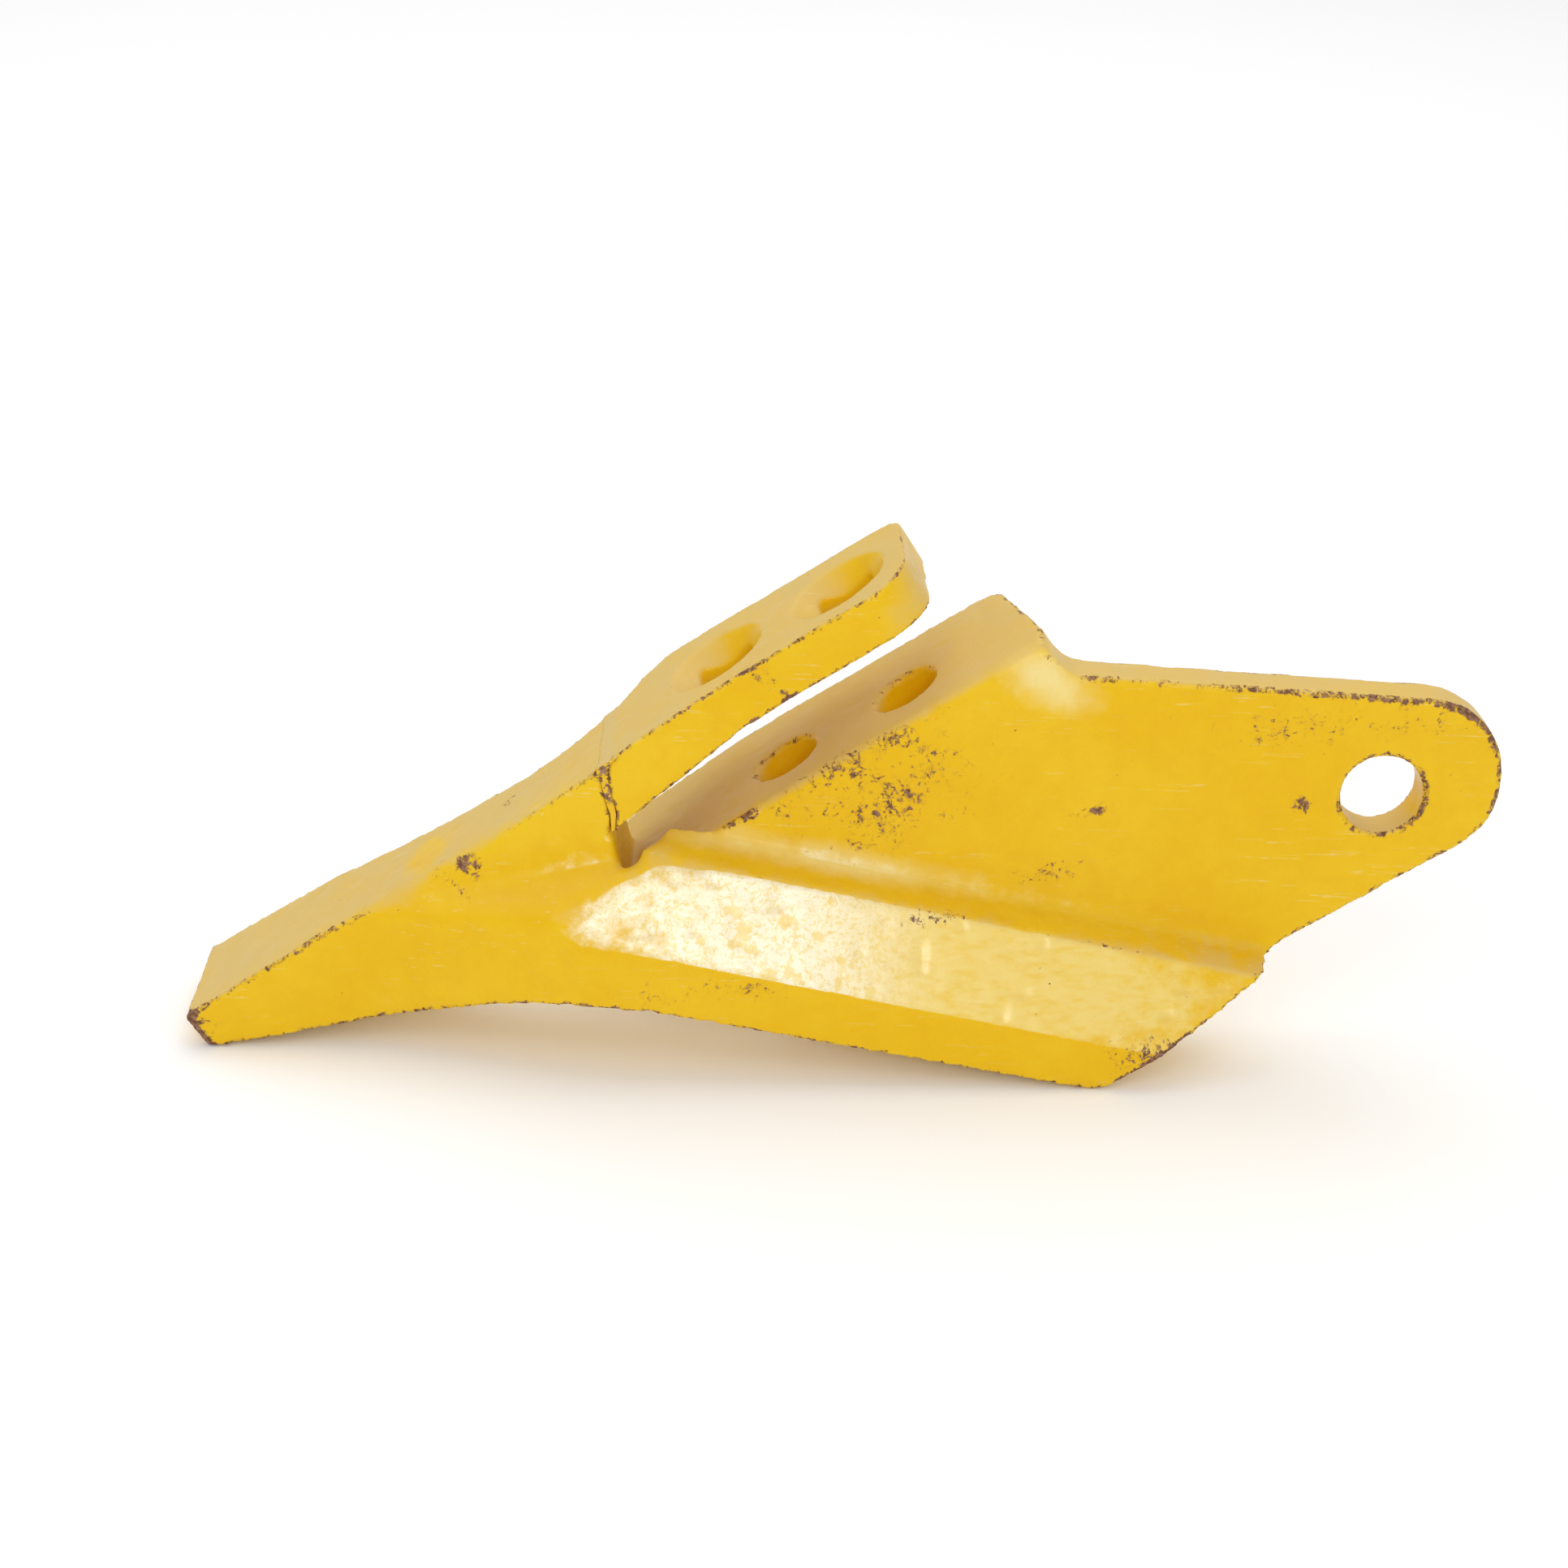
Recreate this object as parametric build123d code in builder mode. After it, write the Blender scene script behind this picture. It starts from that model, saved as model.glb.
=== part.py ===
from build123d import *
import os
from math import cos, hypot, radians, sin, tan

# Side cutter tooth for a loader or excavator bucket, lying on its nose and its wear rib.
# +X runs from the nose to the ear, +Y from the bucket wall side to the inside, +Z up.
# Millimetres and degrees. The datum is where the first bolt's axis crosses the top face of the
# upper leg, measured on the near face of that leg. Outline points are given from the datum.

# ---- Where the datum stands in the part's own frame ----
datum_x = -34.32
datum_y = -14.25
datum_z = 104.72

# ---- Fork ----
leg_angle = 34.0           # rise of both legs
lip_gap = 21.5             # space between the legs, for the bucket lip
upper_thickness = 13.5
upper_width = 46.0
upper_reach = 58.5         # datum to the leg's free end, along the leg
upper_near_round = 14.0    # plan rounding of the free end, near corner
upper_far_round = 6.0
lower_thickness = 14.0
lower_width = 53.0
lower_reach_near = 79.0    # datum to the lower leg's free end, on the near side
lower_reach_far = 70.0
lower_far_round = 8.0
lower_waist_s = -72.0      # the lower leg's far side flares from here
lower_flare_s = 0.0        # to its full width here
lower_edge_round = 4.0
seat_edge_s = -10.0         # the lower leg's soft edge runs from here to its free end
throat_s = -43.4           # where the legs meet, along the leg
throat_drop = 17.8         # depth of the throat's upper corner below the top face
throat_floor_s = -49.5
taper_start_s = 0.0      # the upper leg's underside thickens from here to the throat

# ---- Bolts ----
bolt_pitch = 38.0
bolt_y = 22.0
head_r = 14.5              # rim of the countersink
head_depth = 6.5
neck_side = 16.5           # square neck of the plough bolt
neck_round = 2.5
lower_hole_r = 9.0
lower_hole_break = 1.0
ear_hole_r = 11.0
nut_relief_r = 14.5        # room for the nuts in the back of the ear
nut_relief_length = 24.0

# ---- Nose ----
nose_reach = 170.5         # datum to the cutting edge, along the leg
tip_thickness = 11.3
tip_near_y = -12.0
tip_far_y = 29.0
waist_s = -68.0
waist_far_y = 23.0
waist_dip = 2.2            # hollow of the top face at the waist
dip_from_s = -125.0
dip_to_s = -25.0
flare_to_s = -8.0          # the far side has reached the leg's width here
root_near_y = -6.0         # near edge of the top face at the weld
root_near_s = -40.0
square_s = 5.0             # from here on the leg's near face is square
side_lean = 0.111          # how far the root's near face leans out for each millimetre down
nose_lean = 0.025

# ---- Ear ----
ear_thickness = 12.4
ear_reach = 210.0          # datum to the ear's free edge
ear_top_z = 10.5           # height of the ear's top edge at the datum
ear_top_angle = -2.7
ear_top_share = 0.645      # roundings of the ear's end, as shares of its end edge
ear_low_share = 0.56
ear_neck_share = 1.18      # rounding of the neck, as a share of the lower leg's end edge
ear_hole_x = 178.5
ear_hole_z = -26.4
end_cut = 146.5            # distance of the end cut below the top face of the upper leg

# ---- Wear rib ----
rib_angle = -11.0
ledge_z = -46.2            # height of the ledge's edge at the datum
ledge_width = 12.0
ledge_slope = 3.0          # how far the ledge falls from the ear to its edge
ledge_fillet = 4.5
rib_outer_y = -24.5
facet_height = 23.0
rib_end_round = 6.0
rib_front_x = -48.0

# ---- Weld between the body and the upper leg ----
weld_width = 1.5
weld_recess = 0.4

# ---- Worked out ----
c, s = cos(radians(leg_angle)), sin(radians(leg_angle))
floor_n = -upper_thickness - lip_gap
datum = Vector(datum_x, datum_y, datum_z)


def on_leg(along, up):
    """Side view point from a distance along the leg and a height above its top face."""
    return (along * c - up * s, along * s + up * c)


def at(x, z, y):
    """Point in the part's frame from a side view point and a depth."""
    return datum + Vector(x, y, z)


def side_plane(y):
    """Side view plane at depth y. Extruding from it goes towards the bucket wall side."""
    return Plane(origin=datum + Vector(0, y, 0), x_dir=(1, 0, 0), z_dir=(0, -1, 0))


def leg_plane(up=0.0):
    """Plane parallel to the legs' faces: x along the leg, y across it."""
    return Plane(origin=datum + Vector(-up * s, 0, up * c), x_dir=(c, 0, s), z_dir=(-s, 0, c))


def plane_through(a, b, d):
    """Plane through three points, facing the way that a, b, d turn."""
    return Plane(origin=a, x_dir=b - a, z_dir=(b - a).cross(d - a))


def leg_point(along, up, y):
    x, z = on_leg(along, up)
    return at(x, z, y)


def round_corner(sketch, point, radius):
    """Round the sketch's corner nearest to a point."""
    fillet(sketch.vertices().sort_by_distance(point)[0], radius)


def near_y(along, up, slope):
    """Depth of the root's leaning near face."""
    return root_near_y + slope * (along - root_near_s) + side_lean * up


far_limit = lower_width + 10
near_limit = rib_outer_y - 10
reach_limit = ear_reach + 40

# ---- Outline points, side view ----
tip_low = on_leg(-nose_reach, -tip_thickness)
belly = (-100.0, -98.0)
arch_start = (-62.0, -87.5)
arch_peak = (-31.0, -82.8)
rib_foot = (5.0, -87.2)
rib_bottom_angle = -10.0


def end_cut_z(x):
    return (x * s - end_cut) / c


def ear_top(x):
    return ear_top_z + x * tan(radians(ear_top_angle))


# Where the rib's bottom line meets the end cut.
bottom_rise = tan(radians(rib_bottom_angle))
rib_heel_x = (end_cut / c + rib_foot[1] - rib_foot[0] * bottom_rise) / (s / c - bottom_rise)
rib_heel = (rib_heel_x, end_cut_z(rib_heel_x))
# Where the ear's top line meets the lower leg's free end.
neck_x = (lower_reach_near - ear_top_z * s) / (c + s * tan(radians(ear_top_angle)))
ear_neck = (neck_x, ear_top(neck_x))
leg_corner = on_leg(lower_reach_near, floor_n)
ear_neck_round = ear_neck_share * hypot(leg_corner[0] - ear_neck[0], leg_corner[1] - ear_neck[1])
ear_end_edge = ear_top(ear_reach) - end_cut_z(ear_reach)


# ---- Tools that shape the near side of the root and the rib ----
facet_foot = at(-33.0, -56.0, rib_outer_y)      # front end of the facet's lower edge
facet_head = at(-17.5, -45.4, -ledge_width)     # front end of the ledge's edge
flare_start = at(-88.0, -62.5, -9.4)            # where the flare leaves the nose's near face
lean_face = plane_through(
    leg_point(root_near_s, 0, near_y(root_near_s, 0, nose_lean)),
    leg_point(waist_s, 0, near_y(waist_s, 0, nose_lean)),
    leg_point(root_near_s, -20, near_y(root_near_s, -20, nose_lean)),
)
flare_top = plane_through(facet_foot, facet_head, flare_start)


with BuildPart(Plane(origin=at(-60, -40, near_limit))) as root_relief:
    # Everything that lies outside both the leaning face and the flare's sloping top.
    Box(240, 120, 240)
    split(bisect_by=lean_face, keep=Keep.TOP)
    split(bisect_by=flare_top, keep=Keep.TOP)

ledge_plane = Plane(
    origin=at(0, ledge_z, 0),
    x_dir=(0, 1, 0),
    z_dir=(cos(radians(rib_angle)), 0, sin(radians(rib_angle))),
)
ledge_front_x = -26.0
tool_height = 140.0

with BuildPart() as ledge_relief:
    # The open space above the ledge and outside the facet, along the rib.
    with BuildSketch(ledge_plane.offset(ledge_front_x)) as ledge_section:
        with BuildLine():
            Polyline(
                (0, tool_height),
                (0, ledge_slope),
                (-ledge_width, 0),
                (rib_outer_y, -facet_height),
                (near_limit, -facet_height),
                (near_limit, tool_height),
                close=True,
            )
        make_face()
        round_corner(ledge_section, (0, ledge_slope), ledge_fillet)
    extrude(amount=reach_limit)

with BuildPart() as facet_relief:
    # The facet alone, carried on past the ledge's front end.
    with BuildSketch(ledge_plane.offset(rib_front_x)):
        with BuildLine():
            Polyline(
                (-ledge_width, tool_height),
                (-ledge_width, 0),
                (rib_outer_y, -facet_height),
                (near_limit, -facet_height),
                (near_limit, tool_height),
                close=True,
            )
        make_face()
    extrude(amount=reach_limit)

# ---- Tools that set the width of the nose and of the legs ----
with BuildPart() as nose_width:
    # Seen square to the top face: the nose's waist, then the flare out to the leg's width.
    with BuildSketch(leg_plane(-tool_height)):
        with BuildLine():
            Line((-nose_reach - 20, tip_far_y + 1), (waist_s, waist_far_y))
            Spline(
                (waist_s, waist_far_y),
                (-46, 25.5),
                (-27.5, 35.5),
                (flare_to_s, upper_width),
                tangents=[(1, 0), (1, 0)],
            )
            Polyline(
                (flare_to_s, upper_width),
                (upper_reach + 20, upper_width),
                (upper_reach + 20, near_limit),
                (-nose_reach - 20, near_limit),
                (-nose_reach - 20, tip_far_y + 1),
            )
        make_face()
    extrude(amount=2 * tool_height)

with BuildPart() as nose_side:
    # Seen from above: the nose's near side runs straight, then flares out to the rib.
    with BuildSketch(Plane(origin=at(0, -tool_height, 0))) as nose_plan:
        with BuildLine():
            Polyline(
                (-160, tip_near_y - 0.5),
                (-90, -9),
                (-33, rib_outer_y),
                (reach_limit, rib_outer_y),
                (reach_limit, far_limit),
                (-160, far_limit),
                close=True,
            )
        make_face()
        round_corner(nose_plan, (-90, -9), 60)
        round_corner(nose_plan, (-33, rib_outer_y), 40)
    extrude(amount=2 * tool_height)

# ---- The bar that the nose, the root and the upper leg are cut from ----
throat = on_leg(throat_s, -throat_drop)
throat_floor = on_leg(throat_floor_s, floor_n)
heel_floor = on_leg(-14, floor_n)
heel = on_leg(-22, floor_n - lower_thickness)

with BuildPart() as bar:
    with BuildSketch(side_plane(far_limit)):
        with BuildLine():
            Line(tip_low, on_leg(-nose_reach, 0))
            Line(on_leg(-nose_reach, 0), on_leg(dip_from_s, 0))
            dip_mid = on_leg((dip_from_s + dip_to_s) / 2, -waist_dip)
            ThreePointArc(on_leg(dip_from_s, 0), dip_mid, on_leg(dip_to_s, 0))
            Polyline(
                on_leg(dip_to_s, 0),
                on_leg(upper_reach, 0),
                on_leg(upper_reach, -upper_thickness),
                on_leg(taper_start_s, -upper_thickness),
                throat,
                throat_floor,
                heel_floor,
                heel,
                arch_peak,
            )
            Spline(tip_low, belly, arch_start, arch_peak, tangents=[(1, 0.15), (1, 0)])
        make_face()
    extrude(amount=far_limit - near_limit)
    add(nose_width.part, mode=Mode.INTERSECT)
    add(nose_side.part, mode=Mode.INTERSECT)

# ---- The weld line, side view, from above the top face down to the throat ----
throat_x, throat_z = throat
weld_half = weld_width / 2
weld_line = [
    (throat_x - 1.9, 10),
    (throat_x - 1.9, -18),
    (throat_x - 2.6, -21),
    (throat_x - 2.3, -25.5),
    (throat_x, -34),
    (throat_x, throat_z),
]
body_side = [(x - weld_half, z) for x, z in weld_line]
leg_side = [(x + weld_half, z) for x, z in weld_line]
gap_end = on_leg(upper_reach + 40, (floor_n - upper_thickness) / 2)
gap_top = on_leg(upper_reach + 40, 60)

with BuildPart() as above_throat:
    # The upper leg and the weld: all that the body's forging doesn't hold.
    with BuildSketch(side_plane(far_limit)):
        with BuildLine():
            Polyline(*body_side, throat, gap_end, gap_top, close=True)
        make_face()
    extrude(amount=far_limit - near_limit)

with BuildPart() as lip_slot:
    # The space for the bucket lip, on the inside of the ear.
    with BuildSketch(side_plane(far_limit)):
        with BuildLine():
            slot_end = on_leg(upper_reach + 60, floor_n)
            Polyline(throat, throat_floor, slot_end, gap_top, (throat_x, 60), close=True)
        make_face()
    extrude(amount=far_limit)

with BuildPart() as wall_pocket:
    # The end of the ledge is cut away to the slot's floor, slanting back to the throat.
    with BuildSketch(Plane(origin=at(0, -tool_height, 0))):
        with BuildLine():
            Polyline((-60, 0), (-13, 0), (-24, -ledge_width - 1), (-60, -ledge_width - 1), close=True)
        make_face()
    extrude(amount=2 * tool_height)
    with BuildSketch(side_plane(far_limit)):
        with BuildLine():
            Polyline(throat, throat_floor, slot_end, gap_top, (throat_x, 60), close=True)
        make_face()
    extrude(amount=far_limit - near_limit, mode=Mode.INTERSECT)

# ---- The lower leg's blank, and the tools for its holes ----
bolt_places = [(0, bolt_y), (bolt_pitch, bolt_y)]


def bolt_frames(up):
    """Where the bolts' axes cross a height above the upper leg's top face."""
    return [Location(leg_plane(up)) * Location(place) for place in bolt_places]



with BuildPart() as lower_leg:
    with BuildSketch(leg_plane(floor_n)) as lower_plan:
        with BuildLine():
            Spline(
                (lower_waist_s, waist_far_y - 1),
                (-57, 38),
                (-34, 48.5),
                (lower_flare_s, lower_width),
                tangents=[(1, 0.1), (1, 0)],
            )
            Polyline(
                (lower_flare_s, lower_width),
                (lower_reach_far, lower_width),
                (lower_reach_near, ear_thickness),
                (lower_reach_near, 0),
                (lower_waist_s, 0),
                (lower_waist_s, waist_far_y - 1),
            )
        make_face()
        round_corner(lower_plan, (lower_reach_far, lower_width), lower_far_round)
    extrude(amount=-lower_thickness)

with BuildPart() as nut_relief:
    # Room for the nuts under the lower leg, taken out of the ear's back.
    with BuildSketch(leg_plane(floor_n - lower_thickness)):
        with Locations(*bolt_places):
            Circle(nut_relief_r)
    extrude(amount=-nut_relief_length)

with BuildPart() as seat_edge:
    # The lower leg's top meets the ear's face in a soft edge.
    edge_start = leg_point(seat_edge_s, floor_n, 0)
    with BuildSketch(Plane(origin=edge_start, x_dir=(0, 1, 0), z_dir=(c, 0, s))):
        with BuildLine():
            Polyline(
                (lower_edge_round, 0),
                (lower_edge_round, 1),
                (-1, 1),
                (-1, -lower_edge_round),
                (0, -lower_edge_round),
            )
            CenterArc((lower_edge_round, -lower_edge_round), lower_edge_round, 90, 90)
        make_face()
    extrude(amount=lower_reach_near - 2 * seat_edge_s)

# ---- Body forging: nose, root, lower leg, ear and wear rib ----
with BuildPart() as body_forging:
    add(bar.part)
    add(above_throat.part, mode=Mode.SUBTRACT)

    # Ear and rib share one outline.
    with BuildSketch(side_plane(ear_thickness)) as ear_outline:
        with BuildLine():
            Spline(arch_peak, rib_foot, tangents=[(1, 0), (1, bottom_rise)])
            Polyline(
                rib_foot,
                rib_heel,
                (ear_reach, end_cut_z(ear_reach)),
                (ear_reach, ear_top(ear_reach)),
                ear_neck,
                leg_corner,
                on_leg(8, floor_n),
                (-10, -34),
                (-22, -42),
                (-40, -60),
                arch_peak,
            )
        make_face()
        round_corner(ear_outline, rib_heel, rib_end_round)
        round_corner(ear_outline, (ear_reach, end_cut_z(ear_reach)), ear_low_share * ear_end_edge)
        round_corner(ear_outline, (ear_reach, ear_top(ear_reach)), ear_top_share * ear_end_edge)
        round_corner(ear_outline, ear_neck, ear_neck_round)
    extrude(amount=ear_thickness - rib_outer_y)

    add(ledge_relief.part, mode=Mode.SUBTRACT)
    add(facet_relief.part, mode=Mode.SUBTRACT)
    add(root_relief.part, mode=Mode.SUBTRACT)
    add(wall_pocket.part, mode=Mode.SUBTRACT)

    add(lower_leg.part)
    add(lip_slot.part, mode=Mode.SUBTRACT)
    add(nut_relief.part, mode=Mode.SUBTRACT)

    with BuildSketch(leg_plane(floor_n)):
        with Locations(*bolt_places):
            Circle(lower_hole_r)
    extrude(amount=-lower_thickness, mode=Mode.SUBTRACT)
    with Locations(*bolt_frames(floor_n - lower_hole_break / 2)):
        Cone(lower_hole_r, lower_hole_r + lower_hole_break, lower_hole_break, mode=Mode.SUBTRACT)
    with BuildSketch(side_plane(ear_thickness)):
        with Locations((ear_hole_x, ear_hole_z)):
            Circle(ear_hole_r)
    extrude(amount=ear_thickness, mode=Mode.SUBTRACT)

    add(seat_edge.part, mode=Mode.SUBTRACT)


# ---- Upper leg, welded to the root ----
square_face = plane_through(
    leg_point(square_s, 0, 0),
    leg_point(root_near_s, 0, root_near_y),
    leg_point(root_near_s, -20, root_near_y - 20 * side_lean),
)

with BuildPart(Plane(origin=at(0, 0, near_limit))) as leg_relief:
    # Outside the leg's near face, which is square along the leg and leans out at the root.
    Box(300, 2 * -near_limit, 300)
    split(bisect_by=square_face, keep=Keep.TOP)

with BuildPart() as upper_leg:
    add(bar.part)
    add(leg_relief.part, mode=Mode.SUBTRACT)
    with BuildSketch(side_plane(far_limit)):
        with BuildLine():
            Polyline(*leg_side, gap_end, gap_top, close=True)
        make_face()
    extrude(amount=far_limit - near_limit, mode=Mode.INTERSECT)

    # Plan rounding of the free end's two corners.
    upright = upper_leg.edges().filter_by(Axis(datum, leg_plane().z_dir))
    fillet(upright.sort_by_distance(leg_point(upper_reach, 0, 0))[0], upper_near_round)
    upright = upper_leg.edges().filter_by(Axis(datum, leg_plane().z_dir))
    fillet(upright.sort_by_distance(leg_point(upper_reach, 0, upper_width))[0], upper_far_round)

    # Plough bolt seats: a cone for the head, and a square neck under it.
    with BuildSketch(leg_plane()):
        with Locations(*bolt_places):
            RectangleRounded(neck_side, neck_side, neck_round)
    extrude(amount=-2 * upper_thickness, mode=Mode.SUBTRACT)
    with Locations(*bolt_frames(-head_depth / 2)):
        Cone(neck_side / 2, head_r, head_depth, mode=Mode.SUBTRACT)

# ---- Weld metal between the root and the upper leg ----
with BuildPart() as root_bar:
    add(bar.part)
    add(root_relief.part, mode=Mode.SUBTRACT)

with BuildPart() as leg_weld:
    with BuildSketch(side_plane(far_limit)):
        with BuildLine():
            Polyline(*body_side, *reversed(leg_side), close=True)
        make_face()
    extrude(amount=far_limit - near_limit)
    # The weld lies a little below the faces it joins.
    for sunk in ((0, weld_recess, 0), (0, -weld_recess, 0), (0, 0, -weld_recess)):
        add(root_bar.part.moved(Location(sunk)), mode=Mode.INTERSECT)

body_forging.part.label = "body_forging"
upper_leg.part.label = "upper_leg"
leg_weld.part.label = "leg_weld"

os.makedirs("parts", exist_ok=True)
export_step(body_forging.part, "parts/body_forging.step")
export_step(upper_leg.part, "parts/upper_leg.step")
export_step(leg_weld.part, "parts/leg_weld.step")
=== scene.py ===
"""Side cutter tooth for a digger's bucket: a worn, yellow-painted forging lying on a studio floor.

Lengths are in metres. Places on the tooth are given in millimetres from the datum, where the
front bolt's axis crosses the upper leg's top face on the bucket wall's side.
"""

import math

import bmesh
import bpy
import numpy as np
from mathutils import Matrix, Vector, kdtree


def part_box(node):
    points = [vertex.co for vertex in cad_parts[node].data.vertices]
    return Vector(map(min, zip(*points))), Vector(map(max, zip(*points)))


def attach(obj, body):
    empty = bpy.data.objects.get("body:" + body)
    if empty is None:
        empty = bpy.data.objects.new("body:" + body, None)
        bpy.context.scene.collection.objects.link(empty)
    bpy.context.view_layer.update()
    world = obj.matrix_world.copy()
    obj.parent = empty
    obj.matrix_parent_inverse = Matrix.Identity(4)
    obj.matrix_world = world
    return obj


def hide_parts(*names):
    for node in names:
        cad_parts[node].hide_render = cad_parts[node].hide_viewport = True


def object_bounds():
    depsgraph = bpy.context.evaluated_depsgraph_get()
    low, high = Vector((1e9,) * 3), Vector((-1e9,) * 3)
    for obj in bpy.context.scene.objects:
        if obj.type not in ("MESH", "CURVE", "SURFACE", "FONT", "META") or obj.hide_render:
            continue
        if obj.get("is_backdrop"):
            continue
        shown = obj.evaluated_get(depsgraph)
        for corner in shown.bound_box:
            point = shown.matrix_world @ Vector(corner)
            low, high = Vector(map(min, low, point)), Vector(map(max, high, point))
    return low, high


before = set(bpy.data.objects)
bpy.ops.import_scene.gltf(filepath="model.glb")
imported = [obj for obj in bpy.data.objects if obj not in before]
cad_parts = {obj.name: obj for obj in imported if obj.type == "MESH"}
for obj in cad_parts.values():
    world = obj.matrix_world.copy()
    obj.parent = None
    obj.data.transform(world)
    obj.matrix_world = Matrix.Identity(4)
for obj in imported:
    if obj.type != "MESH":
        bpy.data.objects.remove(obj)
cad_low, cad_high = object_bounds()

MM = 0.001

# ---- Driving dimensions, in millimetres ----
EAR_REACH = 210.0           # datum to the ear's free end
LOWER_LEG_WIDTH = 53.0      # datum's face to the lower leg's far side
UPPER_LEG_REACH = 58.5      # datum to the upper leg's free end, along the leg
LEG_ANGLE = math.radians(34)
RIB_TILT = -0.19            # fall of the rib and its ledge towards the ear, radians
RIB_FACE_NORMAL = (0.091, -0.879, 0.469)

# ---- Skins: size of the mesh's cells, and rounds of smoothing that wear the edges ----
BODY_CELL, BODY_ROUNDS = 0.9 * MM, 5
LEG_CELL, LEG_ROUNDS = 0.7 * MM, 6
WELD_CELL, WELD_ROUNDS = 0.3 * MM, 2
UNEVENNESS, WELD_UNEVENNESS = 0.14, 0.08    # millimetres
NICK_DEPTH, WELD_NICK_DEPTH = 0.16, 0.0     # millimetres
WELD_SAMPLE_SPACING = 0.6 * MM
SEAM_REACH = 2.4 * MM       # how far from the weld the paint is broken

# ---- Weld's swelling into its groove, in millimetres ----
WELD_TOP_RISE = 0.42
WELD_SIDE_SWELL = 0.34
WELD_OUT_SWELL = 0.16

DATUM = Vector((
    cad_high.x - EAR_REACH * MM,
    cad_high.y - LOWER_LEG_WIDTH * MM,
    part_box("upper_leg")[1].z - UPPER_LEG_REACH * math.sin(LEG_ANGLE) * MM,
))


def place(x, y, z):
    """Point on the tooth, from millimetres off the datum."""
    return DATUM + Vector((x, y, z)) * MM


def on_leg(along, across, up=0.0):
    """Point on the legs' slope, from millimetres along it, across it and above its top face."""
    c, s = math.cos(LEG_ANGLE), math.sin(LEG_ANGLE)
    return place(along * c - up * s, across, along * s + up * c)


# ---------------------------------------------------------------- mesh work

def closed_copy(node, voxel, rounds):
    """Fine, even copy of a CAD node's skin, with its sharp edges worn round."""
    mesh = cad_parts[node].data.copy()
    skin = bmesh.new()
    skin.from_mesh(mesh)
    bmesh.ops.remove_doubles(skin, verts=skin.verts, dist=1e-6)
    skin.to_mesh(mesh)
    skin.free()
    blank = bpy.data.objects.new(node + "_blank", mesh)
    bpy.context.scene.collection.objects.link(blank)
    remesh = blank.modifiers.new("even_skin", "REMESH")
    remesh.mode = "VOXEL"
    remesh.voxel_size = voxel
    smooth = blank.modifiers.new("worn_edges", "SMOOTH")
    smooth.factor = 0.5
    smooth.iterations = rounds
    graph = bpy.context.evaluated_depsgraph_get()
    made = bpy.data.meshes.new_from_object(blank.evaluated_get(graph), depsgraph=graph)
    bpy.data.objects.remove(blank)
    return made


def read_points(mesh):
    co = np.empty(len(mesh.vertices) * 3)
    mesh.vertices.foreach_get("co", co)
    return co.reshape(-1, 3)


def read_edges(mesh):
    pairs = np.empty(len(mesh.edges) * 2, dtype=np.int64)
    mesh.edges.foreach_get("vertices", pairs)
    return pairs.reshape(-1, 2)


def read_normals(mesh):
    normals = np.empty(len(mesh.vertices) * 3)
    mesh.vertices.foreach_get("normal", normals)
    return normals.reshape(-1, 3)


def write_points(mesh, co):
    mesh.vertices.foreach_set("co", co.ravel())
    mesh.update()


def neighbour_mean(values, edges):
    """Mean of each vertex's neighbours."""
    count = len(values)
    a, b = edges[:, 0], edges[:, 1]
    degree = np.bincount(a, minlength=count) + np.bincount(b, minlength=count)
    columns = values.reshape(count, -1)
    total = np.stack([
        np.bincount(a, column[b], count) + np.bincount(b, column[a], count)
        for column in columns.T
    ], axis=1)
    return (total / degree[:, None]).reshape(values.shape)


def relax(co, edges, weight, rounds):
    """Soften the shape where weight is near 1."""
    for _ in range(rounds):
        co = co + 0.5 * weight[:, None] * (neighbour_mean(co, edges) - co)
    return co


def ball_weight(co, centre, reach):
    """1 in the middle of an ellipsoid, falling smoothly to 0 at its surface."""
    away = np.linalg.norm((co - np.array(centre)) / (np.array(reach) * MM), axis=1)
    near = np.clip(1.0 - away, 0.0, 1.0)
    return near * near * (3.0 - 2.0 * near)


def lumps(co, wavelength, seed):
    """Smooth noise from -1 to 1, with lumps about a wavelength across."""
    size = 48
    lattice = np.random.default_rng(seed).uniform(-1.0, 1.0, (size, size, size))
    spot = co / wavelength + size / 2
    cell = np.floor(spot).astype(int)
    share = spot - cell
    share = share * share * (3.0 - 2.0 * share)
    total = np.zeros(len(co))
    for corner in np.ndindex(2, 2, 2):
        weight = np.prod(np.where(corner, share, 1.0 - share), axis=1)
        x, y, z = ((cell + corner) % size).T
        total += weight * lattice[x, y, z]
    return total * 1.4


def edge_measure(co, normals, edges, voxel, rounds):
    """How convex the skin is, and how hollow, each from 0 to 1."""
    bend = np.einsum("ij,ij->i", neighbour_mean(co, edges) - co, normals) / voxel
    for _ in range(rounds):
        bend = 0.5 * bend + 0.5 * neighbour_mean(bend, edges)
    return np.clip(-bend * 14.0, 0.0, 1.0), np.clip(bend * 14.0, 0.0, 1.0)


def store(mesh, name, values):
    layer = mesh.attributes.new(name, "FLOAT", "POINT")
    layer.data.foreach_set("value", values.astype(np.float32))


def sample_weld(spacing):
    """Points spread evenly over the weld's faces."""
    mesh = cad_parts["leg_weld"].data
    points = []
    for face in mesh.polygons:
        a, b, c = (mesh.vertices[i].co for i in face.vertices[:3])
        steps = max(1, int(max((b - a).length, (c - a).length) / spacing))
        for i in range(steps + 1):
            for j in range(steps + 1 - i):
                points.append(a + (b - a) * (i / steps) + (c - a) * (j / steps))
    return points


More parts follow.
